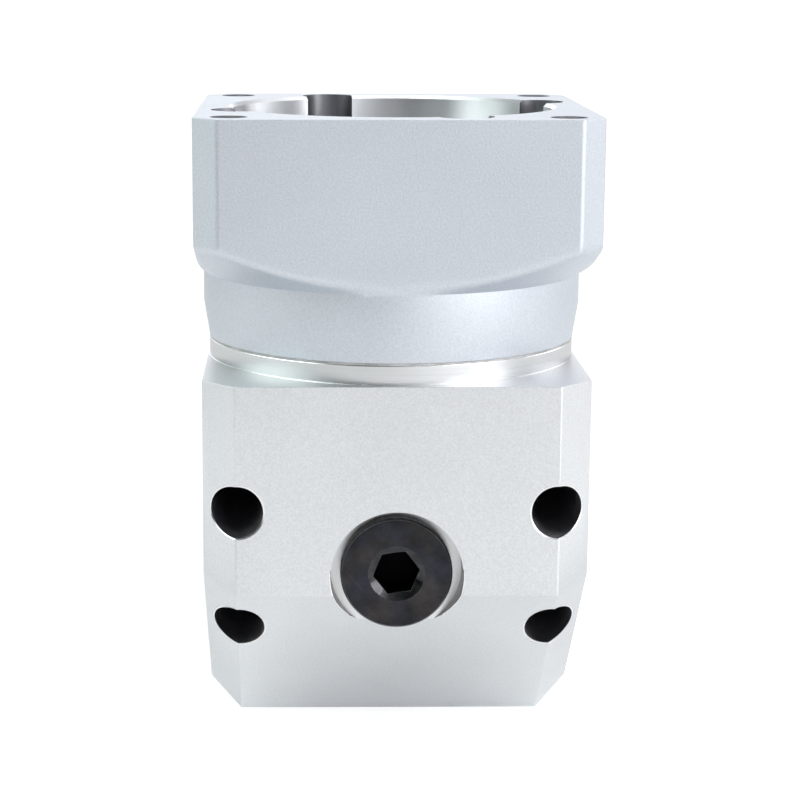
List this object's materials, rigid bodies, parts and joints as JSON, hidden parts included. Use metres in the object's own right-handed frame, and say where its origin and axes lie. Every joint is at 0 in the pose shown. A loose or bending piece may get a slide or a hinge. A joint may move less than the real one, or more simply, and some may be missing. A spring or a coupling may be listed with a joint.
{
  "type": "right angle planetary gearbox",
  "caption": "Right-angle planetary gearbox: square motor flange with clamp hub, bevel elbow block with a chamfered lower edge, planetary stages in a round ring gear, and a plain output shaft.",
  "frame": {"origin": "centre of the output bolt circle, on the output face and the output axis", "axes": "+Y along the output shaft, away from the gearbox; +Z parallel to the input axis, towards the motor"},
  "size_m": [0.06, 0.153, 0.0977],
  "materials": {
    "elbow_aluminium": "satin clear anodised, milled",
    "flange_aluminium": "matte bead blasted",
    "output_aluminium": "satin clear anodised, turned",
    "ring_steel": "turned, ground ends",
    "gear_steel": "ground teeth",
    "shaft_steel": "ground",
    "bearing_steel": "polished",
    "black_steel": "black oxide",
    "spring_steel": "phosphated spring steel",
    "bronze": "sintered bronze",
    "seal_rubber": "matte nitrile rubber",
    "gasket_paper": "dark fibre gasket",
    "access_plug_plastic": "soft black plastic"
  },
  "bodies": {
    "housing": {"elbow_housing": "elbow_aluminium", "input_flange": "flange_aluminium", "output_housing": "output_aluminium", "ring_gear": "ring_steel", "output_spacer": "shaft_steel", "input_bearing_outer_rings": "bearing_steel", "cross_bearing_outer_rings": "bearing_steel", "output_bearing_outer_rings": "bearing_steel", "screw_plug": "black_steel", "flange_screws": "black_steel", "elbow_screws": "black_steel", "output_screws": "black_steel", "input_bearing_clip": "spring_steel", "cross_bearing_clip": "spring_steel", "output_bearing_clip": "spring_steel", "input_oil_seal": "seal_rubber", "output_oil_seal": "seal_rubber", "plug_seal": "seal_rubber", "input_gasket": "gasket_paper", "ring_gasket": "gasket_paper", "output_gasket": "gasket_paper", "clamp_access_plug": "access_plug_plastic"},
    "input": {"input_shaft": "shaft_steel", "clamp_collar": "shaft_steel", "clamp_screw": "black_steel", "bevel_pinion": "gear_steel", "pinion_washer": "spring_steel", "pinion_screw": "black_steel", "input_bearing_inner_rings": "bearing_steel"},
    "cross": {"cross_shaft": "gear_steel", "bevel_gear": "gear_steel", "gear_washer": "spring_steel", "gear_screw": "black_steel", "cross_bearing_inner_rings": "bearing_steel"},
    "carrier": {"first_carrier": "shaft_steel", "second_sun_gear": "gear_steel", "stage_1_pins": "shaft_steel", "stage_1_thrust_washers": "bronze", "stage_1_pin_clips": "spring_steel"},
    "output": {"output_shaft": "shaft_steel", "stage_2_pins": "shaft_steel", "stage_2_thrust_washers": "bronze", "stage_2_pin_clips": "spring_steel", "output_bearing_inner_rings": "bearing_steel", "output_shaft_clip": "spring_steel"},
    "planet_1a": {"planet_1a": "gear_steel", "planet_1a_bush": "bronze"},
    "planet_1b": {"planet_1b": "gear_steel", "planet_1b_bush": "bronze"},
    "planet_1c": {"planet_1c": "gear_steel", "planet_1c_bush": "bronze"},
    "planet_2a": {"planet_2a": "gear_steel", "planet_2a_bush": "bronze"},
    "planet_2b": {"planet_2b": "gear_steel", "planet_2b_bush": "bronze"},
    "planet_2c": {"planet_2c": "gear_steel", "planet_2c_bush": "bronze"}
  },
  "joints": [
    {"name": "output_turn", "type": "hinge", "parent": "housing", "child": "output", "pos_m": [0, 0, 0], "axis": [0, 1, 0], "continuous": true},
    {"name": "carrier_turn", "type": "hinge", "parent": "housing", "child": "carrier", "pos_m": [0, -0.0445, 0], "axis": [0, 1, 0], "continuous": true},
    {"name": "cross_turn", "type": "hinge", "parent": "housing", "child": "cross", "pos_m": [0, -0.065, 0], "axis": [0, 1, 0], "continuous": true},
    {"name": "input_turn", "type": "hinge", "parent": "housing", "child": "input", "pos_m": [0, -0.09, 0.03], "axis": [0, 0, 1], "continuous": true},
    {"name": "planet_1a_turn", "type": "hinge", "parent": "carrier", "child": "planet_1a", "pos_m": [0.0144, -0.0495, 0], "axis": [0, 1, 0], "continuous": true},
    {"name": "planet_1b_turn", "type": "hinge", "parent": "carrier", "child": "planet_1b", "pos_m": [-0.0072, -0.0495, -0.01247], "axis": [0, 1, 0], "continuous": true},
    {"name": "planet_1c_turn", "type": "hinge", "parent": "carrier", "child": "planet_1c", "pos_m": [-0.0072, -0.0495, 0.01247], "axis": [0, 1, 0], "continuous": true},
    {"name": "planet_2a_turn", "type": "hinge", "parent": "output", "child": "planet_2a", "pos_m": [0.0144, -0.0325, 0], "axis": [0, 1, 0], "continuous": true},
    {"name": "planet_2b_turn", "type": "hinge", "parent": "output", "child": "planet_2b", "pos_m": [-0.0072, -0.0325, -0.01247], "axis": [0, 1, 0], "continuous": true},
    {"name": "planet_2c_turn", "type": "hinge", "parent": "output", "child": "planet_2c", "pos_m": [-0.0072, -0.0325, 0.01247], "axis": [0, 1, 0], "continuous": true}
  ],
  "couplings": [
    {"joint": "carrier_turn", "follows": "output_turn", "ratio": 4},
    {"joint": "cross_turn", "follows": "output_turn", "ratio": 16},
    {"joint": "input_turn", "follows": "output_turn", "ratio": -16},
    {"joint": "planet_1a_turn", "follows": "output_turn", "ratio": -12},
    {"joint": "planet_1b_turn", "follows": "output_turn", "ratio": -12},
    {"joint": "planet_1c_turn", "follows": "output_turn", "ratio": -12},
    {"joint": "planet_2a_turn", "follows": "output_turn", "ratio": -3},
    {"joint": "planet_2b_turn", "follows": "output_turn", "ratio": -3},
    {"joint": "planet_2c_turn", "follows": "output_turn", "ratio": -3}
  ]
}
